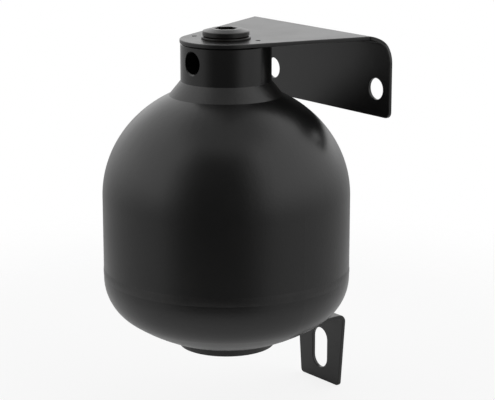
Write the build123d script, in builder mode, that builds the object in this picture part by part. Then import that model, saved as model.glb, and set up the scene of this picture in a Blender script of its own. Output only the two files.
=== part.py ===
from build123d import *
from math import acos, asin, atan2, cos, degrees, radians, sin, sqrt
import os

# Welded diaphragm pressure accumulator with a folded bolt-on bracket and a slotted lower bracket.
# Millimetres, +Z up. The origin is midway between the two bolt holes of the upper bracket,
# on the face that lies against the wall. +Y points into the wall, +X runs along the bolt line.
# Heights are given as world Z. The vessel stands on its own vertical axis, in front of the wall.

# Upper bracket
wall_distance = 62.5
hole_pitch = 80.0
hole_radius = 5.25
hole_drop = 25.5
sheet = 2.0
bend_inside = 2.0
flange_height = 39.0
near_reach = 50.0
far_reach = 53.5
top_corner_radius = 12.0
low_corner_radius = 3.0
plate_end_radius = 22.3
pit_radius = 1.3
pit_depth = 1.1
pit_circle = 17.0
pit_angle = 117.0

# Vessel
shell_radius = 60.5
shell_wall = 3.5
dome_height = 55.5
neck_length = 74.6
barrel_length = 40.4
knuckle_radius = 24.4
crown_radius = 87.6
seam_height = 3.0
seam_groove = 2.2
seam_root = 0.8
seam_crown = 0.15

# Neck with the oil port
neck_radius = 22.0
neck_edge = 0.6
neck_weld_leg = 5.6
neck_weld_height = 4.6
port_radius = 5.2
port_mouth_radius = 5.9
port_depth = 11.5
port_drop = 8.0
port_turn = 5.0
port_drill_radius = 2.0
gallery_radius = 3.5

# Top plug
plug_radius = 8.9
plug_engagement = 5.5
plug_collar_radius = 11.3
plug_collar_height = 3.9
plug_crown_radius = 7.0
plug_crown_drop = 1.1
plug_chamfer = 0.8
collar_edge = 0.3
collar_under_edge = 0.6
plug_socket = 10.0
plug_socket_depth = 7.5
plug_seal_section = 0.9
plug_seal_rise = 1.3
washer_thickness = 1.0
washer_radius = 11.9
thread_gap = 0.05

# Gas filler in the bottom
filler_radius = 23.5
filler_proud = 3.0
filler_spigot_radius = 16.0
filler_height = 14.0
screw_radius = 5.9
screw_length = 6.5
screw_head_radius = 10.0
screw_head_height = 4.5
screw_socket = 6.0
screw_socket_depth = 3.9
screw_gap = 0.3
seal_section = 1.1
gas_drill_radius = 2.5

# Lower bracket
leg_radius = 34.4
leg_half_width = 18.1
tab_half_width = 15.0
tab_drop = 39.3
tab_corner_radius = 2.0
slot_drop = 22.0
slot_length = 21.4
slot_width = 11.5
bead_reach = 2.6
bead_throat = 1.3

# Diaphragm and what holds it
diaphragm_thickness = 2.0
diaphragm_gap = 0.3
diaphragm_flat_radius = 11.0
diaphragm_flat_thickness = 2.5
bead_width = 4.2
bead_height = 4.65
bead_rounding = 1.2
ring_fit = 0.05
ring_wall = 3.0
lip_thickness = 2.8
ring_below = 4.0
ring_above = 8.0
clamp_height = 4.4
neck_inside = 0.2
flare_rise = 6.5
button_radius = 9.5
button_thickness = 1.6
button_stem_radius = 4.5
button_head_radius = 7.0
button_head_thickness = 1.5
button_clearance = 1.0
button_seat_gap = 0.3

# Heights and places worked out from the sizes above
plate_top = hole_drop
neck_top = plate_top - sheet
shoulder_z = neck_top - neck_length
knuckle_z = shoulder_z - barrel_length
seam_z = knuckle_z + seam_height
bend_outside = bend_inside + sheet
flange_bottom = plate_top - flange_height
inner_radius = shell_radius - shell_wall
inner_height = dome_height - shell_wall
knuckle_r = shell_radius - knuckle_radius
crown_z = knuckle_z + sqrt((crown_radius - knuckle_radius) ** 2 - knuckle_r**2)
knuckle_angle = degrees(atan2(knuckle_z - crown_z, knuckle_r))


def dome_z(radius, half_width, height):
    """Height of an elliptical dome over a given radius."""
    return shoulder_z + height * sqrt(1 - (radius / half_width) ** 2)


def crown_surface(radius, sphere=crown_radius):
    """Height of the bottom's crown at a given radius."""
    return crown_z - sqrt(sphere**2 - radius**2)


def crown_angle(radius):
    """Angle at which the crown's circle passes a given radius, seen from its centre."""
    return degrees(atan2(crown_surface(radius) - crown_z, radius))


filler_face = crown_surface(filler_radius) - filler_proud
leg_top = crown_surface(leg_radius)
tab_bottom = leg_top - tab_drop
slot_z = leg_top - slot_drop

# The diaphragm's skin follows the inside of the vessel, and its flat middle carries the button
dome_outer = inner_radius - diaphragm_gap
dome_inner = dome_outer - diaphragm_thickness
dome_outer_height = inner_height - diaphragm_gap
dome_inner_height = dome_outer_height - diaphragm_thickness
flat_top_z = dome_z(diaphragm_flat_radius, dome_outer, dome_outer_height)
flat_under_z = flat_top_z - diaphragm_flat_thickness

# A half section through the vessel: its X is the radius, its Y is the height
section = Plane(origin=(0, -wall_distance, 0), x_dir=(1, 0, 0), z_dir=(0, -1, 0))
vessel_axis = Axis((0, -wall_distance, 0), (0, 0, 1))
axis_point = (0, -wall_distance)

# The oil port points away from the wall, turned a little to one side
port_angle = -90 + port_turn
port_direction = (cos(radians(port_angle)), sin(radians(port_angle)), 0)
port_z = neck_top - port_drop

made = []


def finish(part, name):
    part.label = name
    made.append(part)


# Upper shell: dome and barrel, open where the neck goes in and bevelled for the girth weld
with BuildPart() as upper_shell:
    with BuildSketch(section):
        with BuildLine():
            EllipticalCenterArc((0, shoulder_z), shell_radius, dome_height, arc_size=90)
            Line((0, shoulder_z + dome_height), (0, seam_z))
            Line((0, seam_z), (inner_radius + seam_root, seam_z))
            Line((inner_radius + seam_root, seam_z), (shell_radius, seam_z + seam_groove))
            Line((shell_radius, seam_z + seam_groove), (shell_radius, shoulder_z))
        make_face()
        with BuildLine():
            EllipticalCenterArc((0, shoulder_z), inner_radius, inner_height, arc_size=90)
            Line((0, shoulder_z + inner_height), (0, seam_z))
            Line((0, seam_z), (inner_radius, seam_z))
            Line((inner_radius, seam_z), (inner_radius, shoulder_z))
        make_face(mode=Mode.SUBTRACT)
        with Locations((0, neck_top)):
            Rectangle(neck_radius, neck_length, align=(Align.MIN, Align.MAX), mode=Mode.SUBTRACT)
    revolve(axis=vessel_axis)
finish(upper_shell.part, "upper_shell")

# Lower shell: barrel, knuckle and shallow crown, open where the filler boss goes in
with BuildPart() as lower_shell:
    with BuildSketch(section):
        with BuildLine():
            Line((0, seam_z), (inner_radius + seam_root, seam_z))
            Line((inner_radius + seam_root, seam_z), (shell_radius, seam_z - seam_groove))
            Line((shell_radius, seam_z - seam_groove), (shell_radius, knuckle_z))
            CenterArc((knuckle_r, knuckle_z), knuckle_radius, 0, knuckle_angle)
            CenterArc((0, crown_z), crown_radius, knuckle_angle, -90 - knuckle_angle)
            Line((0, crown_z - crown_radius), (0, seam_z))
        make_face()
        with BuildLine():
            Line((0, seam_z), (inner_radius, seam_z))
            Line((inner_radius, seam_z), (inner_radius, knuckle_z))
            CenterArc((knuckle_r, knuckle_z), knuckle_radius - shell_wall, 0, knuckle_angle)
            CenterArc((0, crown_z), crown_radius - shell_wall, knuckle_angle, -90 - knuckle_angle)
            Line((0, crown_z - crown_radius + shell_wall), (0, seam_z))
        make_face(mode=Mode.SUBTRACT)
        with Locations((0, crown_z)):
            Rectangle(filler_spigot_radius, crown_radius, align=(Align.MIN, Align.MAX), mode=Mode.SUBTRACT)
    revolve(axis=vessel_axis)
finish(lower_shell.part, "lower_shell")

# Girth weld: fills the V between the shells and stands a little proud
with BuildPart() as seam_weld:
    with BuildSketch(section):
        with BuildLine():
            Line((inner_radius + seam_root, seam_z), (shell_radius, seam_z - seam_groove))
            ThreePointArc(
                (shell_radius, seam_z - seam_groove),
                (shell_radius + seam_crown, seam_z),
                (shell_radius, seam_z + seam_groove),
            )
            Line((shell_radius, seam_z + seam_groove), (inner_radius + seam_root, seam_z))
        make_face()
    revolve(axis=vessel_axis)
finish(seam_weld.part, "seam_weld")

# Neck: a turned boss through the top of the dome. Its underside carries on the dome's inner
# curve, with a recess in which the diaphragm's button closes the gallery.
recess_radius = button_radius + button_clearance
recess_z = flat_top_z + button_thickness + button_seat_gap
plug_floor_z = neck_top - plug_engagement - thread_gap
port_mouth = Plane(
    origin=(
        neck_radius * port_direction[0],
        -wall_distance + neck_radius * port_direction[1],
        port_z,
    ),
    z_dir=port_direction,
)
with BuildPart() as port_boss:
    with BuildSketch(section):
        with Locations((0, neck_top)):
            Rectangle(neck_radius, neck_top - shoulder_z, align=(Align.MIN, Align.MAX))
        with Locations((0, shoulder_z)):
            Ellipse(inner_radius, inner_height, mode=Mode.SUBTRACT)
        with Locations((0, recess_z)):
            Rectangle(
                recess_radius,
                recess_z - shoulder_z,
                align=(Align.MIN, Align.MAX),
                mode=Mode.SUBTRACT,
            )
    revolve(axis=vessel_axis)
    with BuildSketch(Plane.XY.offset(neck_top)):
        with Locations(axis_point):
            Circle(plug_radius + thread_gap)
    extrude(amount=plug_floor_z - neck_top, mode=Mode.SUBTRACT)
    with BuildSketch(Plane.XY.offset(neck_top)):
        with Locations(axis_point):
            Circle(gallery_radius)
    extrude(amount=recess_z - neck_top, mode=Mode.SUBTRACT)
    with BuildSketch(port_mouth):
        Circle(port_radius)
    extrude(amount=-port_depth, mode=Mode.SUBTRACT)
    with BuildSketch(port_mouth):
        Circle(port_drill_radius)
    extrude(amount=gallery_radius / 2 - neck_radius, mode=Mode.SUBTRACT)
    # The mouth's countersink, measured from where the curved wall meets the hole
    with BuildSketch(port_mouth):
        Circle(port_mouth_radius)
    extrude(amount=-(port_mouth_radius - port_radius), taper=45, mode=Mode.SUBTRACT)
    chamfer(edges().filter_by(GeomType.CIRCLE).group_by(Axis.Z)[-1].sort_by(SortBy.RADIUS)[-1], neck_edge)
finish(port_boss.part, "port_boss")

# Fillet weld between the neck and the dome
weld_toe_radius = neck_radius + neck_weld_leg
weld_toe_z = dome_z(weld_toe_radius, shell_radius, dome_height)
weld_top_z = dome_z(neck_radius, shell_radius, dome_height) + neck_weld_height
with BuildPart() as neck_weld:
    with BuildSketch(section):
        with BuildLine():
            Polyline(
                (neck_radius, weld_top_z),
                (neck_radius, shoulder_z),
                (weld_toe_radius, shoulder_z),
                (weld_toe_radius, weld_toe_z),
                close=True,
            )
        make_face()
        with Locations((0, shoulder_z)):
            Ellipse(shell_radius, dome_height, mode=Mode.SUBTRACT)
    revolve(axis=vessel_axis)
finish(neck_weld.part, "neck_weld")

# Upper bracket: one folded sheet. The plate's end follows the neck and its sides run straight
# to the bend. The flange hangs from the bend, with a large corner on the near side.
with BuildPart() as upper_bracket:
    with BuildSketch(Plane.YZ.offset(-far_reach)):
        with BuildLine():
            Polyline(
                (-wall_distance - plate_end_radius, neck_top),
                (-wall_distance - plate_end_radius, plate_top),
                (0, plate_top),
                (0, flange_bottom),
                (-sheet, flange_bottom),
                (-sheet, neck_top),
                close=True,
            )
        make_face()
        fillet(vertices().sort_by_distance((0, plate_top))[0], bend_outside)
        fillet(vertices().sort_by_distance((-sheet, neck_top))[0], bend_inside)
    extrude(amount=far_reach + near_reach)
    with BuildSketch(Plane.XY.offset(flange_bottom)):
        with BuildLine():
            CenterArc(axis_point, plate_end_radius, 0, 360)
            Line((-far_reach, -bend_outside), (near_reach - top_corner_radius, -bend_outside))
        make_hull()
        with Locations((-far_reach, -bend_outside)):
            Rectangle(far_reach + near_reach, bend_outside, align=(Align.MIN, Align.MIN))
    extrude(amount=flange_height, mode=Mode.INTERSECT)
    with BuildSketch(Plane.XZ):
        with BuildLine():
            Polyline(
                (-far_reach, plate_top),
                (near_reach, plate_top),
                (near_reach, flange_bottom),
                (-far_reach, flange_bottom),
                close=True,
            )
        make_face()
        fillet(vertices().sort_by_distance((near_reach, plate_top))[0], top_corner_radius)
        fillet(vertices().group_by(Axis.Y)[0], low_corner_radius)
    extrude(amount=wall_distance + plate_end_radius, mode=Mode.INTERSECT)
    with BuildSketch(Plane.XZ):
        with GridLocations(hole_pitch, 0, 2, 1):
            Circle(hole_radius)
    extrude(amount=bend_outside, mode=Mode.SUBTRACT)
    with BuildSketch(Plane.XY.offset(plate_top)):
        with Locations(axis_point):
            Circle(plug_radius + screw_gap)
    extrude(amount=-sheet, mode=Mode.SUBTRACT)
    with BuildSketch(Plane.XY.offset(plate_top)):
        with Locations(axis_point):
            with PolarLocations(pit_circle, 2, start_angle=90 + pit_angle):
                Circle(pit_radius)
    extrude(amount=-pit_depth, mode=Mode.SUBTRACT)
finish(upper_bracket.part, "upper_bracket")

# Sealing ring and screw plug on top of the plate
washer_top = plate_top + washer_thickness
plug_top = washer_top + plug_collar_height
with BuildPart() as plug_washer:
    with BuildSketch(Plane.XY.offset(plate_top)):
        with Locations(axis_point):
            Circle(washer_radius)
            Circle(plug_radius + screw_gap, mode=Mode.SUBTRACT)
    extrude(amount=washer_thickness)
    fillet(edges().filter_by(GeomType.CIRCLE).sort_by(SortBy.RADIUS)[-2:], washer_thickness / 4)
finish(plug_washer.part, "plug_washer")

# The plug's collar slopes down from its socket, and its shank has a groove for a sealing ring
plug_end_z = neck_top - plug_engagement
groove_z = plug_end_z + plug_seal_rise
groove_top_z = groove_z + 2 * plug_seal_section
plug_seal_r = plug_radius + thread_gap - ring_fit - plug_seal_section
crown_edge_z = plug_top - plug_crown_drop
with BuildPart() as top_plug:
    with BuildSketch(section):
        with BuildLine():
            Polyline(
                (0, plug_top),
                (plug_crown_radius, plug_top),
                (plug_collar_radius - collar_edge, crown_edge_z),
                (plug_collar_radius, crown_edge_z - collar_edge),
                (plug_collar_radius, washer_top + collar_under_edge),
                (plug_collar_radius - collar_under_edge, washer_top),
                (plug_radius, washer_top),
                (plug_radius, groove_top_z),
                (plug_seal_r - plug_seal_section, groove_top_z),
                (plug_seal_r - plug_seal_section, groove_z),
                (plug_radius, groove_z),
                (plug_radius, plug_end_z + plug_chamfer),
                (plug_radius - plug_chamfer, plug_end_z),
                (0, plug_end_z),
                close=True,
            )
        make_face()
    revolve(axis=vessel_axis)
    with BuildSketch(Plane.XY.offset(plug_top)):
        with Locations(axis_point):
            RegularPolygon(plug_socket / 2, 6, major_radius=False)
    extrude(amount=-plug_socket_depth, mode=Mode.SUBTRACT)
finish(top_plug.part, "top_plug")

with BuildPart() as plug_seal:
    with BuildSketch(section):
        with Locations((plug_seal_r, groove_z + plug_seal_section)):
            Circle(plug_seal_section)
    revolve(axis=vessel_axis)
finish(plug_seal.part, "plug_seal")

# Filler boss: a flange outside and a spigot inside, both bored for the charging screw
head_floor_z = filler_face + screw_head_height + screw_gap
seal_top_z = head_floor_z + 2 * seal_section
spigot_top_z = filler_face + filler_height
seal_centre_r = screw_radius + screw_gap + seal_section
with BuildPart() as filler_boss:
    with BuildSketch(section):
        with BuildLine():
            Line((0, filler_face), (filler_radius, filler_face))
            Line((filler_radius, filler_face), (filler_radius, crown_surface(filler_radius)))
            CenterArc(
                (0, crown_z),
                crown_radius,
                crown_angle(filler_radius),
                crown_angle(filler_spigot_radius) - crown_angle(filler_radius),
            )
            Line(
                (filler_spigot_radius, crown_surface(filler_spigot_radius)),
                (filler_spigot_radius, spigot_top_z),
            )
            Line((filler_spigot_radius, spigot_top_z), (0, spigot_top_z))
            Line((0, spigot_top_z), (0, filler_face))
        make_face()
        with Locations((0, filler_face)):
            Rectangle(
                screw_head_radius + screw_gap,
                head_floor_z - filler_face,
                align=(Align.MIN, Align.MIN),
                mode=Mode.SUBTRACT,
            )
            Rectangle(
                seal_centre_r + seal_section + ring_fit,
                seal_top_z - filler_face,
                align=(Align.MIN, Align.MIN),
                mode=Mode.SUBTRACT,
            )
            Rectangle(
                screw_radius + thread_gap,
                seal_top_z - filler_face + screw_length,
                align=(Align.MIN, Align.MIN),
                mode=Mode.SUBTRACT,
            )
            Rectangle(gas_drill_radius, filler_height, align=(Align.MIN, Align.MIN), mode=Mode.SUBTRACT)
    revolve(axis=vessel_axis)
    chamfer(edges().group_by(Axis.Z)[-1].sort_by(SortBy.RADIUS)[-1], plug_chamfer)
finish(filler_boss.part, "filler_boss")

# Charging screw, head down, and the sealing ring under its head
screw_face_z = head_floor_z - screw_head_height
with BuildPart() as filler_screw:
    with BuildSketch(section):
        with BuildLine():
            Polyline(
                (0, screw_face_z),
                (screw_head_radius - plug_chamfer, screw_face_z),
                (screw_head_radius, screw_face_z + plug_chamfer),
                (screw_head_radius, head_floor_z),
                (screw_radius, head_floor_z),
                (screw_radius, seal_top_z + screw_length - plug_chamfer),
                (screw_radius - plug_chamfer, seal_top_z + screw_length - ring_fit),
                (0, seal_top_z + screw_length - ring_fit),
                close=True,
            )
        make_face()
    revolve(axis=vessel_axis)
    with BuildSketch(Plane.XY.offset(screw_face_z)):
        with Locations(axis_point):
            RegularPolygon(screw_socket / 2, 6, major_radius=False)
    extrude(amount=screw_socket_depth, mode=Mode.SUBTRACT)
finish(filler_screw.part, "filler_screw")

with BuildPart() as filler_seal:
    with BuildSketch(section):
        with Locations((seal_centre_r, head_floor_z + seal_section)):
            Circle(seal_section)
    revolve(axis=vessel_axis)
finish(filler_seal.part, "filler_seal")

# Lower bracket: one folded sheet. The leg's end is hollowed to the bottom shell,
# and the tab narrows downwards round its slot.
with BuildPart() as lower_bracket:
    with BuildSketch(Plane.YZ.offset(-leg_half_width)):
        with BuildLine():
            Polyline(
                (-wall_distance, leg_top - sheet),
                (-wall_distance, leg_top),
                (0, leg_top),
                (0, tab_bottom),
                (-sheet, tab_bottom),
                (-sheet, leg_top - sheet),
                close=True,
            )
        make_face()
        fillet(vertices().sort_by_distance((0, leg_top))[0], bend_outside)
        fillet(vertices().sort_by_distance((-sheet, leg_top - sheet))[0], bend_inside)
    extrude(amount=2 * leg_half_width)
    with BuildSketch(Plane.XZ):
        with BuildLine():
            Polyline(
                (-leg_half_width, leg_top),
                (leg_half_width, leg_top),
                (leg_half_width, leg_top - bend_outside),
                (tab_half_width, tab_bottom),
                (-tab_half_width, tab_bottom),
                (-leg_half_width, leg_top - bend_outside),
                close=True,
            )
        make_face()
        fillet(vertices().group_by(Axis.Y)[0], tab_corner_radius)
        with Locations((0, slot_z)):
            SlotOverall(slot_length, slot_width, rotation=90, mode=Mode.SUBTRACT)
    extrude(amount=wall_distance, mode=Mode.INTERSECT)
    with BuildSketch(Plane.XY.offset(leg_top)):
        with Locations(axis_point):
            Circle(leg_radius)
    extrude(amount=-sheet, mode=Mode.SUBTRACT)
finish(lower_bracket.part, "lower_bracket")

# Weld bead in the corner between the crown and the leg's hollowed end
bead_angle = degrees(atan2(leg_half_width, sqrt(leg_radius**2 - leg_half_width**2)))
bead_toe_z = leg_top - sheet
bead_toe_r = sqrt(crown_radius**2 - (crown_z - bead_toe_z) ** 2) - bead_throat
bead_start = radians(90 - bead_angle)
bead_section = Plane(
    origin=section.origin,
    x_dir=(cos(bead_start), sin(bead_start), 0),
    z_dir=(sin(bead_start), -cos(bead_start), 0),
)
with BuildPart() as lower_bracket_weld:
    with BuildSketch(bead_section):
        with BuildLine():
            CenterArc(
                (0, crown_z),
                crown_radius,
                crown_angle(leg_radius),
                crown_angle(bead_toe_r) - crown_angle(leg_radius),
            )
            ThreePointArc(
                (bead_toe_r, crown_surface(bead_toe_r)),
                (leg_radius - bead_throat, bead_toe_z - bead_throat),
                (leg_radius + bead_reach, bead_toe_z),
            )
            Line((leg_radius + bead_reach, bead_toe_z), (leg_radius, bead_toe_z))
            Line((leg_radius, bead_toe_z), (leg_radius, leg_top))
        make_face()
    revolve(axis=vessel_axis, revolution_arc=2 * bead_angle)
finish(lower_bracket_weld.part, "lower_bracket_weld")

# Support ring: seated on the knuckle behind the girth weld, with a lip for the diaphragm's bead
ring_bottom_z = knuckle_z - ring_below
ring_outer = inner_radius - ring_fit
ring_inner = ring_outer - ring_wall
ring_seat_r = knuckle_r + sqrt((knuckle_radius - shell_wall) ** 2 - ring_below**2) - ring_fit
lip_z = ring_bottom_z + lip_thickness
lip_radius = ring_inner - bead_width - 2 * ring_fit - neck_inside
with BuildPart() as support_ring:
    with BuildSketch(section):
        with BuildLine():
            Polyline(
                (ring_outer, seam_z + ring_above),
                (ring_outer, knuckle_z),
                (ring_seat_r, ring_bottom_z),
                (lip_radius, ring_bottom_z),
                (lip_radius, lip_z),
                (ring_inner, lip_z),
                (ring_inner, seam_z + ring_above),
                close=True,
            )
        make_face()
    revolve(axis=vessel_axis)
finish(support_ring.part, "support_ring")

# Clamp ring: pressed down on the bead inside the support ring
bead_outer = ring_inner - ring_fit
bead_inner = bead_outer - bead_width
bead_bottom_z = lip_z + ring_fit
bead_top_z = bead_bottom_z + bead_height
skin_outer = bead_inner + neck_inside
skin_inner = skin_outer - diaphragm_thickness
clamp_z = bead_top_z + ring_fit
with BuildPart() as clamp_ring:
    with BuildSketch(section):
        with Locations((skin_outer + ring_fit, clamp_z)):
            Rectangle(bead_outer - skin_outer - ring_fit, clamp_height, align=(Align.MIN, Align.MIN))
        fillet(vertices().sort_by_distance((skin_outer, clamp_z + clamp_height))[0], ring_wall / 3)
    revolve(axis=vessel_axis)
finish(clamp_ring.part, "clamp_ring")

# Diaphragm: bead under the clamp ring, a skin that widens to the barrel's wall and lies under
# the dome, and a flat middle with a hole for the button
flare_z = clamp_z + clamp_height + ring_fit
outer_turn = degrees(acos(diaphragm_flat_radius / dome_outer))
inner_turn = degrees(asin((flat_under_z - shoulder_z) / dome_inner_height))
button_hole = button_stem_radius + ring_fit
with BuildPart() as diaphragm:
    with BuildSketch(section):
        with BuildLine():
            outer_dome = EllipticalCenterArc(
                (0, shoulder_z), dome_outer, dome_outer_height, arc_size=outer_turn
            )
            inner_dome = EllipticalCenterArc(
                (0, shoulder_z), dome_inner, dome_inner_height, arc_size=inner_turn
            )
            Polyline(outer_dome @ 1, (button_hole, flat_top_z), (button_hole, flat_under_z), inner_dome @ 1)
            Polyline(
                outer_dome @ 0,
                (dome_outer, flare_z + flare_rise),
                (skin_outer, flare_z),
                (skin_outer, bead_bottom_z),
                (skin_inner, bead_bottom_z),
                (skin_inner, flare_z + diaphragm_thickness / 2),
                (dome_inner, flare_z + flare_rise + diaphragm_thickness / 2),
                inner_dome @ 0,
            )
        make_face()
        with Locations(((bead_inner + bead_outer) / 2, (bead_bottom_z + bead_top_z) / 2)):
            RectangleRounded(bead_width, bead_height, bead_rounding)
    revolve(axis=vessel_axis)
finish(diaphragm.part, "diaphragm")

# Button: a disc above the diaphragm, a stem through it and a head below
with BuildPart() as closing_button:
    with BuildSketch(section):
        with Locations((0, flat_top_z)):
            Rectangle(button_radius, button_thickness, align=(Align.MIN, Align.MIN))
            Rectangle(button_stem_radius, diaphragm_flat_thickness, align=(Align.MIN, Align.MAX))
        with Locations((0, flat_under_z)):
            Rectangle(button_head_radius, button_head_thickness, align=(Align.MIN, Align.MAX))
        head_corner = (button_head_radius, flat_under_z - button_head_thickness)
        fillet(vertices().sort_by_distance(head_corner)[0], button_head_thickness / 2)
    revolve(axis=vessel_axis)
finish(closing_button.part, "closing_button")

os.makedirs("parts", exist_ok=True)
for part in made:
    export_step(part, "parts/" + part.label + ".step")
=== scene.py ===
from math import acos, asin, atan2, cos, degrees, pi, radians, sin, sqrt, tan

import bmesh
import bpy
from mathutils import Euler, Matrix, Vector


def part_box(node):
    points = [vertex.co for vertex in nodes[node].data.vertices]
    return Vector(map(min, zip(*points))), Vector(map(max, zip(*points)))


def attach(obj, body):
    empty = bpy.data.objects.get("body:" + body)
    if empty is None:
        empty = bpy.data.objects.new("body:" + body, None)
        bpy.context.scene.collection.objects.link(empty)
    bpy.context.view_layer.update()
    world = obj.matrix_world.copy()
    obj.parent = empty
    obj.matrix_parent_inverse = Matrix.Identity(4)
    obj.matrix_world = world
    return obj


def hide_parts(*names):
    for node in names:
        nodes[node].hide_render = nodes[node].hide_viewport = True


# Pressure accumulator in black paint, hung by its folded bracket. Metres, in the frame of the model:
# +Z up, +Y into the wall, origin midway between the two bolt holes on the wall face.

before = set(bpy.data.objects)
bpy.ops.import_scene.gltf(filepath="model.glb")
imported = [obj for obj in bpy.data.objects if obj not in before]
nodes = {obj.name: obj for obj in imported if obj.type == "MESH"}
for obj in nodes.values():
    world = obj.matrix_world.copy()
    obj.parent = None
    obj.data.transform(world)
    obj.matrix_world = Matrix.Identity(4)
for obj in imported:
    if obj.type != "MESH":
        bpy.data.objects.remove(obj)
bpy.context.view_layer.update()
MM = 0.001

# ---------------------------------------------------------------- places read from the model

neck_low, neck_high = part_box("port_boss")
plate_low, plate_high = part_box("upper_bracket")
tab_low, tab_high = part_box("lower_bracket")
washer_low, washer_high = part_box("plug_washer")
plug_low, plug_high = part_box("top_plug")
filler_low, filler_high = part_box("filler_boss")
screw_low, screw_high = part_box("filler_screw")
axis_y = (neck_low.y + neck_high.y) / 2
neck_top = neck_high.z
floor_z = tab_low.z

# Sizes that the photograph and the model share
neck_radius = 22.0 * MM
port_z = neck_top - 8.0 * MM
port_angle = radians(-85)
port_depth = 11.5 * MM
thread_root = 5.95 * MM
thread_crest = 5.2 * MM
thread_pitch = 1.5 * MM
sheet = 2.0 * MM
bend_radius = 4.0 * MM
hole_radius = 5.25 * MM
hole_reach = 40.0 * MM


# ---------------------------------------------------------------- small modelling helpers


def deselect():
    bpy.ops.object.select_all(action="DESELECT")


def activate(piece):
    deselect()
    piece.select_set(True)
    bpy.context.view_layer.objects.active = piece


def open_edit(piece, kind="FACE"):
    activate(piece)
    bpy.ops.object.mode_set(mode="EDIT")
    bpy.ops.mesh.select_mode(type=kind)
    bpy.ops.mesh.select_all(action="DESELECT")


def close_edit():
    bpy.ops.object.mode_set(mode="OBJECT")


def pick_faces(piece, wanted):
    """Selects the faces for which wanted(centre, normal) holds."""
    mesh = bmesh.from_edit_mesh(piece.data)
    for face in mesh.faces:
        face.select_set(wanted(face.calc_center_median(), face.normal))
    bmesh.update_edit_mesh(piece.data)


def pick_edges(piece, wanted):
    """Selects the edges for which wanted(one end, other end) holds."""
    mesh = bmesh.from_edit_mesh(piece.data)
    for edge in mesh.edges:
        edge.select_set(wanted(edge.verts[0].co, edge.verts[1].co))
    mesh.select_flush_mode()
    bmesh.update_edit_mesh(piece.data)


def apply_place(piece):
    activate(piece)
    bpy.ops.object.transform_apply(location=True, rotation=True, scale=True)


def apply_modifier(piece, kind, **settings):
    activate(piece)
    modifier = piece.modifiers.new(kind.lower(), kind)
    for key, value in settings.items():
        setattr(modifier, key, value)
    bpy.ops.object.modifier_apply(modifier=modifier.name)


def cut(piece, tool, how="DIFFERENCE"):
    """Cuts a closed tool out of a piece, or joins or keeps what they share, and removes the tool."""
    apply_modifier(piece, "BOOLEAN", object=tool, operation=how, solver="EXACT")
    bpy.data.objects.remove(tool)


def add_box(name, low, high):
    deselect()
    centre = (Vector(low) + Vector(high)) / 2
    bpy.ops.mesh.primitive_cube_add(size=1, location=centre)
    piece = bpy.context.active_object
    piece.name = name
    piece.scale = Vector(high) - Vector(low)
    apply_place(piece)
    return piece


def add_rod(name, radius, start, direction, length, sides=64, tip_radius=None):
    """A closed round bar, or a cone, from a start point along a direction."""
    deselect()
    along = Vector(direction).normalized()
    centre = Vector(start) + along * length / 2
    turn = along.to_track_quat("Z", "Y").to_euler()
    bpy.ops.mesh.primitive_cone_add(
        vertices=sides,
        radius1=radius,
        radius2=radius if tip_radius is None else tip_radius,
        depth=length,
        location=centre,
        rotation=turn,
    )
    piece = bpy.context.active_object
    piece.name = name
    apply_place(piece)
    return piece


def turn_on_axis(name, profile, steps=192, closed=True):
    """Turns a profile of (radius, height) points about the vessel's axis, ring by ring."""
    deselect()
    radius, height = profile[0]
    bpy.ops.mesh.primitive_circle_add(vertices=steps, radius=radius, location=(0, axis_y, height))
    piece = bpy.context.active_object
    piece.name = name
    apply_place(piece)
    bpy.ops.object.mode_set(mode="EDIT")
    bpy.ops.mesh.select_mode(type="VERT")
    bpy.ops.mesh.select_all(action="SELECT")
    for next_radius, next_height in profile[1:]:
        bpy.ops.mesh.extrude_edges_move(TRANSFORM_OT_translate={"value": (0, 0, next_height - height)})
        grow = next_radius / radius
        bpy.ops.transform.resize(value=(grow, grow, 1), center_override=(0, axis_y, next_height))
        radius, height = next_radius, next_height
    if not closed:
        bpy.ops.mesh.edge_face_add()
    bpy.ops.mesh.select_all(action="SELECT")
    bpy.ops.mesh.remove_doubles(threshold=1e-6)
    if not closed:
        bpy.ops.mesh.select_all(action="DESELECT")
        bpy.ops.mesh.select_non_manifold()
        bpy.ops.mesh.edge_face_add()
        bpy.ops.mesh.select_all(action="SELECT")
    bpy.ops.mesh.normals_make_consistent(inside=False)
    close_edit()
    return piece


def smooth(piece, angle=30):
    activate(piece)
    bpy.ops.object.shade_smooth_by_angle(angle=radians(angle))


def round_edges(piece, width, steps=3, angle=35):
    """Breaks every sharp edge by a small round, as a deburred and painted edge has."""
    apply_modifier(
        piece,
        "BEVEL",
        width=width,
        segments=steps,
        limit_method="ANGLE",
        angle_limit=radians(angle),
        harden_normals=False,
    )


def place_piece(piece, finish, body, slot, *replaced):
    """Gives a finished piece its finish and body, and hides the model's nodes that it stands for."""
    piece.data.materials.clear()
    piece.data.materials.append(finish)
    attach(piece, body)
    if replaced:
        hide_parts(*replaced)


# ---------------------------------------------------------------- finishes


def new_group(name, inputs, outputs):
    """A shader node group with named inputs (name, kind, default) and outputs (name, kind)."""
    group = bpy.data.node_groups.new(name, "ShaderNodeTree")
    for label, kind, default in inputs:
        socket = group.interface.new_socket(name=label, in_out="INPUT", socket_type=kind)
        socket.default_value = default
    for label, kind in outputs:
        group.interface.new_socket(name=label, in_out="OUTPUT", socket_type=kind)
    start = group.nodes.new("NodeGroupInput")
    end = group.nodes.new("NodeGroupOutput")
    return group, start, end


def add_node(tree, kind, links=(), **settings):
    """A node with its settings, and its inputs joined to other sockets or set to values."""
    node = tree.nodes.new(kind)
    for key, value in settings.items():
        setattr(node, key, value)
    for label, value in dict(links).items():
        if isinstance(value, bpy.types.NodeSocket):
            tree.links.new(value, node.inputs[label])
        else:
            node.inputs[label].default_value = value
    return node


def math_node(tree, operation, first, second=0.0, clamp=False):
    return add_node(tree, "ShaderNodeMath", {0: first, 1: second}, operation=operation, use_clamp=clamp).outputs[0]


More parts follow.
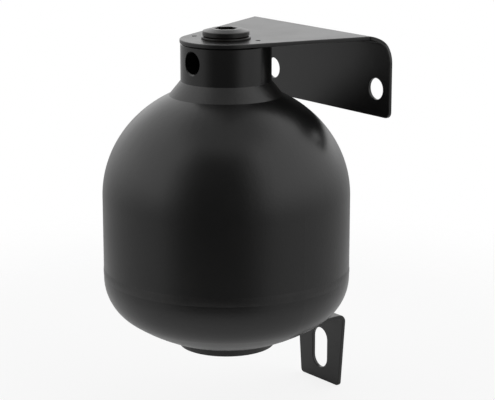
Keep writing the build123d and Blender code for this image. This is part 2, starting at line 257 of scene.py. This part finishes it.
def paint_relief_group():
    """Orange peel and slow waviness of a sprayed coat, with the change of gloss that goes with it."""
    group, start, end = new_group(
        "paint_relief",
        [
            ("Vector", "NodeSocketVector", (0, 0, 0)),
            ("Peel Size", "NodeSocketFloat", 700.0),
            ("Wave Size", "NodeSocketFloat", 60.0),
            ("Gloss Change", "NodeSocketFloat", 0.08),
            ("Roughness", "NodeSocketFloat", 0.34),
        ],
        [("Height", "NodeSocketFloat"), ("Roughness", "NodeSocketFloat")],
    )
    peel = add_node(
        group,
        "ShaderNodeTexNoise",
        {"Vector": start.outputs["Vector"], "Scale": start.outputs["Peel Size"], "Detail": 2.0, "Roughness": 0.5},
    )
    wave = add_node(
        group,
        "ShaderNodeTexNoise",
        {"Vector": start.outputs["Vector"], "Scale": start.outputs["Wave Size"], "Detail": 3.0, "Roughness": 0.55},
    )
    slow = math_node(group, "MULTIPLY", wave.outputs["Fac"], 2.2)
    height = math_node(group, "ADD", peel.outputs["Fac"], slow)
    group.links.new(height, end.inputs["Height"])
    spread = math_node(group, "SUBTRACT", wave.outputs["Fac"], 0.5)
    change = math_node(group, "MULTIPLY", spread, start.outputs["Gloss Change"])
    rough = math_node(group, "ADD", start.outputs["Roughness"], change, clamp=True)
    group.links.new(rough, end.inputs["Roughness"])
    return group


def tint_group():
    """Two tones of one colour, mixed by broad soft patches and a fine speckle."""
    group, start, end = new_group(
        "two_tone",
        [
            ("Vector", "NodeSocketVector", (0, 0, 0)),
            ("Dark", "NodeSocketColor", (0, 0, 0, 1)),
            ("Light", "NodeSocketColor", (1, 1, 1, 1)),
            ("Patch Size", "NodeSocketFloat", 25.0),
            ("Speck Size", "NodeSocketFloat", 900.0),
            ("Speck", "NodeSocketFloat", 0.3),
        ],
        [("Color", "NodeSocketColor"), ("Mask", "NodeSocketFloat")],
    )
    patch = add_node(
        group,
        "ShaderNodeTexNoise",
        {"Vector": start.outputs["Vector"], "Scale": start.outputs["Patch Size"], "Detail": 4.0, "Roughness": 0.6},
    )
    speck = add_node(
        group,
        "ShaderNodeTexNoise",
        {"Vector": start.outputs["Vector"], "Scale": start.outputs["Speck Size"], "Detail": 2.0},
    )
    centred = math_node(group, "SUBTRACT", speck.outputs["Fac"], 0.5)
    fine = math_node(group, "MULTIPLY", centred, start.outputs["Speck"])
    mask = math_node(group, "ADD", patch.outputs["Fac"], fine, clamp=True)
    steep = add_node(
        group,
        "ShaderNodeMapRange",
        {"Value": mask, "From Min": 0.3, "From Max": 0.7},
        interpolation_type="SMOOTHSTEP",
    )
    mix = add_node(group, "ShaderNodeMix", {"Factor": steep.outputs["Result"]}, data_type="RGBA")
    group.links.new(start.outputs["Dark"], mix.inputs[6])
    group.links.new(start.outputs["Light"], mix.inputs[7])
    group.links.new(mix.outputs[2], end.inputs["Color"])
    group.links.new(steep.outputs["Result"], end.inputs["Mask"])
    return group


def turning_group():
    """Fine rings left by a lathe tool, about an axis that runs along Z."""
    group, start, end = new_group(
        "turning_marks",
        [
            ("Vector", "NodeSocketVector", (0, 0, 0)),
            ("Rings", "NodeSocketFloat", 3000.0),
            ("Roughness", "NodeSocketFloat", 0.3),
            ("Gloss Change", "NodeSocketFloat", 0.12),
        ],
        [("Height", "NodeSocketFloat"), ("Roughness", "NodeSocketFloat")],
    )
    apart = add_node(group, "ShaderNodeSeparateXYZ", {"Vector": start.outputs["Vector"]})
    flat = add_node(group, "ShaderNodeCombineXYZ", {"X": apart.outputs["X"], "Y": apart.outputs["Y"]})
    radius = add_node(group, "ShaderNodeVectorMath", {0: flat.outputs["Vector"]}, operation="LENGTH")
    along = math_node(group, "ADD", radius.outputs["Value"], apart.outputs["Z"])
    dense = math_node(group, "MULTIPLY", along, start.outputs["Rings"])
    ring = add_node(group, "ShaderNodeTexNoise", {"W": dense, "Scale": 1.0, "Detail": 3.0}, noise_dimensions="1D")
    group.links.new(ring.outputs["Fac"], end.inputs["Height"])
    spread = math_node(group, "SUBTRACT", ring.outputs["Fac"], 0.5)
    change = math_node(group, "MULTIPLY", spread, start.outputs["Gloss Change"])
    rough = math_node(group, "ADD", start.outputs["Roughness"], change, clamp=True)
    group.links.new(rough, end.inputs["Roughness"])
    return group


paint_relief = paint_relief_group()
two_tone = tint_group()
turning_marks = turning_group()


def start_finish(name, centred=False):
    """A material with its shader, and Object coordinates, centred on the vessel's axis if asked."""
    finish = bpy.data.materials.new(name)
    finish.use_nodes = True
    tree = finish.node_tree
    tree.nodes.clear()
    output = tree.nodes.new("ShaderNodeOutputMaterial")
    shader = tree.nodes.new("ShaderNodeBsdfPrincipled")
    tree.links.new(shader.outputs["BSDF"], output.inputs["Surface"])
    place = tree.nodes.new("ShaderNodeTexCoord").outputs["Object"]
    if centred:
        mapping = add_node(tree, "ShaderNodeMapping", {"Vector": place, "Location": (0, -axis_y, 0)})
        place = mapping.outputs["Vector"]
    return finish, tree, shader, place


def use_group(tree, group, links):
    node = tree.nodes.new("ShaderNodeGroup")
    node.node_tree = group
    for label, value in links.items():
        if isinstance(value, bpy.types.NodeSocket):
            tree.links.new(value, node.inputs[label])
        else:
            node.inputs[label].default_value = value
    return node


def set_relief(tree, shader, height, distance, strength=1.0):
    bump = add_node(tree, "ShaderNodeBump", {"Strength": strength, "Distance": distance, "Height": height})
    tree.links.new(bump.outputs["Normal"], shader.inputs["Normal"])


def paint_finish(name, dark, light, roughness, relief, patch=25.0, peel=700.0, speck=0.3):
    """Sprayed black paint: two near tones, orange peel, and gloss that changes slowly."""
    finish, tree, shader, place = start_finish(name)
    tone = use_group(
        tree,
        two_tone,
        {"Vector": place, "Dark": dark, "Light": light, "Patch Size": patch, "Speck": speck},
    )
    coat = use_group(
        tree,
        paint_relief,
        {"Vector": place, "Roughness": roughness, "Peel Size": peel},
    )
    tree.links.new(tone.outputs["Color"], shader.inputs["Base Color"])
    tree.links.new(coat.outputs["Roughness"], shader.inputs["Roughness"])
    set_relief(tree, shader, coat.outputs["Height"], relief)
    shader.inputs["IOR"].default_value = 1.55
    return finish


def turned_finish(name, dark, light, roughness, metallic, relief, rings=3000.0):
    """Turned steel: lathe rings, two near tones."""
    finish, tree, shader, place = start_finish(name, centred=True)
    tone = use_group(
        tree,
        two_tone,
        {"Vector": place, "Dark": dark, "Light": light, "Patch Size": 150.0, "Speck": 0.6},
    )
    marks = use_group(tree, turning_marks, {"Vector": place, "Roughness": roughness, "Rings": rings})
    tree.links.new(tone.outputs["Color"], shader.inputs["Base Color"])
    tree.links.new(marks.outputs["Roughness"], shader.inputs["Roughness"])
    set_relief(tree, shader, marks.outputs["Height"], relief)
    shader.inputs["Metallic"].default_value = metallic
    return finish


def rubber_finish(name, dark, light, roughness, relief):
    """Moulded rubber: matt, with a fine grain."""
    finish, tree, shader, place = start_finish(name)
    tone = use_group(
        tree,
        two_tone,
        {"Vector": place, "Dark": dark, "Light": light, "Patch Size": 40.0, "Speck": 0.8},
    )
    grain = use_group(
        tree,
        paint_relief,
        {"Vector": place, "Roughness": roughness, "Peel Size": 1600.0, "Gloss Change": 0.15},
    )
    tree.links.new(tone.outputs["Color"], shader.inputs["Base Color"])
    tree.links.new(grain.outputs["Roughness"], shader.inputs["Roughness"])
    set_relief(tree, shader, grain.outputs["Height"], relief)
    return finish


black_paint = paint_finish(
    "black_paint", (0.0045, 0.0045, 0.0045, 1), (0.0075, 0.0073, 0.007, 1), 0.3, 0.00003
)
neck_paint = paint_finish(
    "neck_paint", (0.0045, 0.0045, 0.0045, 1), (0.0075, 0.0073, 0.007, 1), 0.25, 0.00002
)
weld_paint = paint_finish(
    "weld_paint", (0.006, 0.006, 0.006, 1), (0.011, 0.0105, 0.01, 1), 0.34, 0.00006, patch=120.0
)
sheet_paint = paint_finish(
    "sheet_paint", (0.0045, 0.0045, 0.0045, 1), (0.0075, 0.0073, 0.007, 1), 0.32, 0.00002, peel=900.0
)
plug_coat = turned_finish(
    "plug_coat", (0.008, 0.007, 0.006, 1), (0.014, 0.012, 0.01, 1), 0.3, 0.0, 0.00001
)
bare_steel = turned_finish(
    "bare_steel", (0.42, 0.41, 0.4, 1), (0.58, 0.57, 0.56, 1), 0.28, 1.0, 0.00001
)
moulded_rubber = rubber_finish(
    "moulded_rubber", (0.012, 0.012, 0.012, 1), (0.022, 0.021, 0.02, 1), 0.62, 0.00004
)
seal_rubber = rubber_finish(
    "seal_rubber", (0.01, 0.01, 0.01, 1), (0.016, 0.016, 0.016, 1), 0.45, 0.00001
)

for name, finish in {
    "upper_shell": black_paint,
    "lower_shell": black_paint,
    "seam_weld": weld_paint,
    "port_boss": neck_paint,
    "neck_weld": weld_paint,
    "upper_bracket": sheet_paint,
    "plug_washer": plug_coat,
    "top_plug": plug_coat,
    "plug_seal": seal_rubber,
    "filler_boss": neck_paint,
    "filler_screw": plug_coat,
    "filler_seal": seal_rubber,
    "lower_bracket": sheet_paint,
    "lower_bracket_weld": weld_paint,
    "support_ring": bare_steel,
    "clamp_ring": bare_steel,
    "diaphragm": moulded_rubber,
    "closing_button": bare_steel,
}.items():
    nodes[name].data.materials.clear()
    nodes[name].data.materials.append(finish)


# ---------------------------------------------------------------- sheets bent from a flat blank

bend_inside = 2.0 * MM
bend_outside = bend_inside + sheet
bend_length = (bend_inside + bend_outside) / 2 * pi / 2
bend_steps = 12
edge_round = 0.45 * MM


def arc_points(centre, radius, start, end, steps):
    """Points on an arc from one angle to another, in degrees, both ends included."""
    points = []
    for step in range(steps + 1):
        angle = radians(start + (end - start) * step / steps)
        points.append((centre[0] + radius * cos(angle), centre[1] + radius * sin(angle)))
    return points


def corner_points(before, corner, after, radius, steps=6):
    """Points of a round corner of an outline, tangent to the straight runs on both sides."""
    corner = Vector(corner)
    back = (Vector(before) - corner).normalized()
    ahead = (Vector(after) - corner).normalized()
    half = back.angle(ahead) / 2
    centre = corner + (back + ahead).normalized() * radius / sin(half)
    first = corner + back * radius / tan(half) - centre
    last = corner + ahead * radius / tan(half) - centre
    return [tuple(centre + first.lerp(last, step / steps).normalized() * radius) for step in range(steps + 1)]


def flat_run(top, height):
    """Where a height on the hanging leg lies along Y while the sheet is still flat."""
    return bend_length - bend_outside + top - bend_outside - height


def flat_blank(name, outline, top):
    """A flat slab with the given outline, one sheet thick, below the given height."""
    deselect()
    bpy.ops.mesh.primitive_circle_add(vertices=len(outline), radius=1)
    piece = bpy.context.active_object
    piece.name = name
    for corner, (across, along) in zip(piece.data.vertices, outline):
        corner.co = (across, along, top - sheet)
    open_edit(piece, "VERT")
    bpy.ops.mesh.select_all(action="SELECT")
    bpy.ops.mesh.edge_face_add()
    bpy.ops.mesh.extrude_region_move(TRANSFORM_OT_translate={"value": (0, 0, sheet)})
    bpy.ops.mesh.select_all(action="SELECT")
    bpy.ops.mesh.normals_make_consistent(inside=False)
    close_edit()
    return piece


def punch(piece, radius, across, along, top, sides=64):
    """A round hole straight through a flat slab."""
    cut(piece, add_rod("punch", radius, (across, along, top - 2 * sheet), (0, 0, 1), 3 * sheet, sides))


def fold_down(piece, top):
    """Bends the flat slab down by a right angle, as a press brake does."""
    open_edit(piece, "VERT")
    for step in range(bend_steps + 1):
        bpy.ops.mesh.select_all(action="SELECT")
        line = step / bend_steps * bend_length - bend_outside
        bpy.ops.mesh.bisect(plane_co=(0, line, 0), plane_no=(0, 1, 0))
    close_edit()
    for corner in piece.data.vertices:
        along = corner.co.y + bend_outside
        if along > 0:
            reach = bend_outside - (top - corner.co.z)
            turn = min(along / bend_length, 1) * pi / 2
            beyond = max(along - bend_length, 0)
            corner.co.y = reach * sin(turn) - bend_outside
            corner.co.z = top - bend_outside + reach * cos(turn) - beyond


def even_shading(piece, angle=40):
    """Smooth shading in which the large flat faces keep their own direction."""
    smooth(piece, angle)
    apply_modifier(piece, "WEIGHTED_NORMAL", keep_sharp=True)


def tangent_angle(point, centre, radius, side):
    """Angle on a circle at which the straight run to an outside point leaves it."""
    away = Vector(point) - Vector(centre)
    return degrees(atan2(away.y, away.x)) + side * degrees(acos(radius / away.length))


# Upper bracket: the plate follows the neck at its end, and the flange has one large corner
axis_centre = (0, axis_y)
plate_top = plate_high.z
plate_end_radius = axis_y - plate_low.y
large_corner = 12.0 * MM
small_corner = 3.0 * MM
near_x, far_x = plate_high.x, plate_low.x
corner_x = near_x - large_corner
corner_z = plate_top - large_corner
near_point = (corner_x, -bend_outside)
far_point = (far_x, -bend_outside)
outline = arc_points(
    axis_centre,
    plate_end_radius,
    tangent_angle(far_point, axis_centre, plate_end_radius, 1) - 360,
    tangent_angle(near_point, axis_centre, plate_end_radius, -1),
    64,
)
outline.append(near_point)
for step in range(1, 9):
    turn = step / 8 * pi / 2
    rise = large_corner - bend_outside + bend_outside * cos(turn)
    outline.append((corner_x + sqrt(large_corner**2 - rise**2), bend_length * step / 8 - bend_outside))
bend_end = degrees(asin((large_corner - bend_outside) / large_corner))
for across, height in arc_points((corner_x, corner_z), large_corner, bend_end, 0, 8)[1:]:
    outline.append((across, flat_run(plate_top, height)))
flange_end = flat_run(plate_top, plate_low.z)
outline += corner_points((near_x, 0), (near_x, flange_end), (far_x, flange_end), small_corner)
outline += corner_points((near_x, flange_end), (far_x, flange_end), (far_x, 0), small_corner)
outline.append(far_point)
wall_bracket = flat_blank("wall_bracket", outline, plate_top)
for side in (-1, 1):
    punch(wall_bracket, hole_radius, side * hole_reach, flat_run(plate_top, 0), plate_top)
punch(wall_bracket, 9.2 * MM, 0, axis_y, plate_top, 72)
round_edges(wall_bracket, edge_round)
for angle in (207, 27):
    mark_x, mark_y = arc_points(axis_centre, 17.0 * MM, angle, angle, 1)[0]
    cut(wall_bracket, add_rod("centre_punch", 1.3 * MM, (mark_x, mark_y, plate_top - 1.1 * MM), (0, 0, 1), sheet, 32))
fold_down(wall_bracket, plate_top)
even_shading(wall_bracket)
place_piece(wall_bracket, sheet_paint, "vessel", "black_paint", "upper_bracket")

# Lower bracket: the leg's end is hollowed to the bottom shell, and the tab narrows round its slot
leg_top = tab_high.z
leg_half = tab_high.x
leg_hollow = 34.4 * MM
tab_half = 15.0 * MM
tab_corner = 2.0 * MM
slot_length = 21.4 * MM
slot_width = 11.5 * MM
slot_z = leg_top - 22.0 * MM
hollow_turn = degrees(asin(leg_half / leg_hollow))
outline = arc_points(axis_centre, leg_hollow, 90 + hollow_turn, 90 - hollow_turn, 32)
outline.append((leg_half, -bend_outside))
tab_start = flat_run(leg_top, leg_top - bend_outside)
tab_end = flat_run(leg_top, tab_low.z)
outline.append((leg_half, tab_start))
outline += corner_points((leg_half, tab_start), (tab_half, tab_end), (-tab_half, tab_end), tab_corner)
outline += corner_points((tab_half, tab_end), (-tab_half, tab_end), (-leg_half, tab_start), tab_corner)
outline += [(-leg_half, tab_start), (-leg_half, -bend_outside)]
slotted_tab = flat_blank("slotted_tab", outline, leg_top)
slot_reach = (slot_length - slot_width) / 2
ends = [
    add_rod("slot_tool", slot_width / 2, (0, flat_run(leg_top, slot_z + shift), leg_top - 2 * sheet), (0, 0, 1), 3 * sheet)
    for shift in (-slot_reach, slot_reach)
]
deselect()
for end in ends:
    end.select_set(True)
bpy.context.view_layer.objects.active = ends[0]
bpy.ops.object.join()
slot_tool = bpy.context.active_object
open_edit(slot_tool, "VERT")
bpy.ops.mesh.select_all(action="SELECT")
bpy.ops.mesh.convex_hull()
close_edit()
cut(slotted_tab, slot_tool)
round_edges(slotted_tab, edge_round)
fold_down(slotted_tab, leg_top)
even_shading(slotted_tab)
place_piece(slotted_tab, sheet_paint, "vessel", "black_paint", "lower_bracket")


# ---------------------------------------------------------------- camera at the photograph's place

focal_pixels = 1768.4
picture_width = 495
photo_turn = radians(52.4)
photo_pitch = radians(13.642)
aim_across = 10.32 * MM
aim_height = -2.12 * MM
camera_distance = 866.32 * MM
photo_zero_height = 52.15 * MM


def from_photo_axes(across, towards, height):
    """A point given across the picture, away from the camera and up, about the vessel's axis."""
    return Vector(
        (
            across * cos(photo_turn) - towards * sin(photo_turn),
            across * sin(photo_turn) + towards * cos(photo_turn) + axis_y,
            height - photo_zero_height,
        )
    )


camera_place = from_photo_axes(
    aim_across,
    -camera_distance * cos(photo_pitch),
    aim_height + camera_distance * sin(photo_pitch),
)
camera_aim = from_photo_axes(aim_across, 0, aim_height)
deselect()
bpy.ops.object.camera_add(location=camera_place)
camera = bpy.context.active_object
camera.name = "photo_camera"
camera.rotation_euler = (camera_aim - camera_place).to_track_quat("-Z", "Y").to_euler()
camera.data.sensor_fit = "HORIZONTAL"
camera.data.sensor_width = 36
camera.data.lens = 36 * focal_pixels / picture_width
camera.data.clip_end = 50
camera.data.dof.use_dof = False
bpy.context.scene.camera = camera


# ---------------------------------------------------------------- floor, world and light

floor_radius = 0.34
floor_fade = 0.2
floor_centre = from_photo_axes(0, 0.08, 0)
deselect()
bpy.ops.mesh.primitive_circle_add(
    vertices=96,
    radius=floor_radius,
    fill_type="NGON",
    location=(floor_centre.x, floor_centre.y, floor_z - 0.0005),
)
ground = bpy.context.active_object
ground.name = "floor"
ground_finish = bpy.data.materials.new("pale_floor")
ground_finish.use_nodes = True
tree = ground_finish.node_tree
tree.nodes.clear()
output = tree.nodes.new("ShaderNodeOutputMaterial")
pale = add_node(tree, "ShaderNodeBsdfDiffuse", {"Color": (0.9, 0.9, 0.9, 1)})
glow = add_node(tree, "ShaderNodeEmission", {"Color": (1, 1, 1, 1), "Strength": 1.0})
path = tree.nodes.new("ShaderNodeLightPath")
mirrored = math_node(tree, "MAXIMUM", path.outputs["Is Glossy Ray"], path.outputs["Is Transmission Ray"])
mirrored = math_node(tree, "MULTIPLY", mirrored, 0.15)
seen = math_node(tree, "MULTIPLY", path.outputs["Is Camera Ray"], 0.85)
share = math_node(tree, "MAXIMUM", seen, mirrored)
mix = add_node(tree, "ShaderNodeMixShader", {0: share})
tree.links.new(pale.outputs[0], mix.inputs[1])
tree.links.new(glow.outputs[0], mix.inputs[2])
# The table ends in a soft edge, so the shadow fades out and the front of the vessel stays dark
place = tree.nodes.new("ShaderNodeTexCoord").outputs["Object"]
from_middle = add_node(tree, "ShaderNodeVectorMath", {0: place}, operation="LENGTH").outputs["Value"]
inside = add_node(
    tree,
    "ShaderNodeMapRange",
    {"Value": from_middle, "From Min": floor_radius, "From Max": floor_radius - floor_fade},
    interpolation_type="SMOOTHSTEP",
).outputs["Result"]
nothing = tree.nodes.new("ShaderNodeBsdfTransparent")
edge = add_node(tree, "ShaderNodeMixShader", {0: inside})
tree.links.new(nothing.outputs[0], edge.inputs[1])
tree.links.new(mix.outputs[0], edge.inputs[2])
tree.links.new(edge.outputs[0], output.inputs["Surface"])
ground.data.materials.append(ground_finish)

wall_low = 0.45
wall_high = 1.15
backdrop_level = 1.3
roof_level = 0.5
high_back_level = 0.15
front_level = 0.1

world = bpy.data.worlds.new("studio")
bpy.context.scene.world = world
world.use_nodes = True
tree = world.node_tree
tree.nodes.clear()
output = tree.nodes.new("ShaderNodeOutputWorld")
direction = tree.nodes.new("ShaderNodeTexCoord").outputs["Generated"]
# The studio has a white wall of cloth on the left and right and a bright backdrop. It is open
# towards the front, dark high up at the back, and dimmer near the ground.
front = (camera_place - camera_aim).normalized()
front.rotate(Euler((0, 0, radians(-8))))
apart = add_node(tree, "ShaderNodeSeparateXYZ", {"Vector": direction})
flat = add_node(tree, "ShaderNodeCombineXYZ", {"X": apart.outputs["X"], "Y": apart.outputs["Y"]})
level_way = add_node(tree, "ShaderNodeVectorMath", {0: flat.outputs["Vector"]}, operation="NORMALIZE")
facing = add_node(
    tree,
    "ShaderNodeVectorMath",
    {0: level_way.outputs["Vector"], 1: Vector((front.x, front.y, 0)).normalized()},
    operation="DOT_PRODUCT",
).outputs["Value"]
height = apart.outputs["Z"]


def soft_step(tree, value, start, end, low=0.0, high=1.0):
    node = add_node(
        tree,
        "ShaderNodeMapRange",
        {"Value": value, "From Min": start, "From Max": end, "To Min": low, "To Max": high},
        interpolation_type="SMOOTHSTEP",
    )
    return node.outputs["Result"]


def blend_levels(tree, share, first, second):
    node = add_node(tree, "ShaderNodeMix", {"Factor": share}, data_type="FLOAT")
    for index, value in ((2, first), (3, second)):
        if isinstance(value, bpy.types.NodeSocket):
            tree.links.new(value, node.inputs[index])
        else:
            node.inputs[index].default_value = value
    return node.outputs[0]


cloth = soft_step(tree, height, -0.3, 0.35, low=wall_low, high=wall_high)
far_back = math_node(tree, "MULTIPLY", soft_step(tree, facing, -0.7, -0.95), soft_step(tree, height, 0.0, 0.1))
cloth = blend_levels(tree, far_back, cloth, backdrop_level)
overhead = soft_step(tree, height, 0.78, 0.97)
cloth = blend_levels(tree, overhead, cloth, roof_level)
behind = soft_step(tree, facing, -0.84, -0.97)
high_up = soft_step(tree, height, 0.45, 0.72)
cloth = blend_levels(tree, math_node(tree, "MULTIPLY", behind, high_up), cloth, high_back_level)
gap = soft_step(tree, facing, cos(radians(58)), cos(radians(18)))
not_overhead = soft_step(tree, height, 0.95, 0.8)
opening = blend_levels(tree, math_node(tree, "MULTIPLY", gap, not_overhead), cloth, front_level)
path = tree.nodes.new("ShaderNodeLightPath")
level = add_node(tree, "ShaderNodeMix", {"Factor": path.outputs["Is Camera Ray"]}, data_type="FLOAT")
tree.links.new(opening, level.inputs[2])
level.inputs[3].default_value = 1.0
tent = add_node(tree, "ShaderNodeBackground", {"Color": (1, 1, 1, 1)})
tree.links.new(level.outputs[0], tent.inputs["Strength"])
tree.links.new(tent.outputs[0], output.inputs["Surface"])


def softbox(name, place, aim, size, power):
    deselect()
    bpy.ops.object.light_add(type="AREA", location=place)
    lamp = bpy.context.active_object
    lamp.name = name
    lamp.rotation_euler = (Vector(aim) - Vector(place)).to_track_quat("-Z", "Y").to_euler()
    lamp.data.shape = "RECTANGLE"
    lamp.data.size, lamp.data.size_y = size
    lamp.data.energy = power
    return lamp


bpy.context.scene.view_settings.view_transform = "Standard"
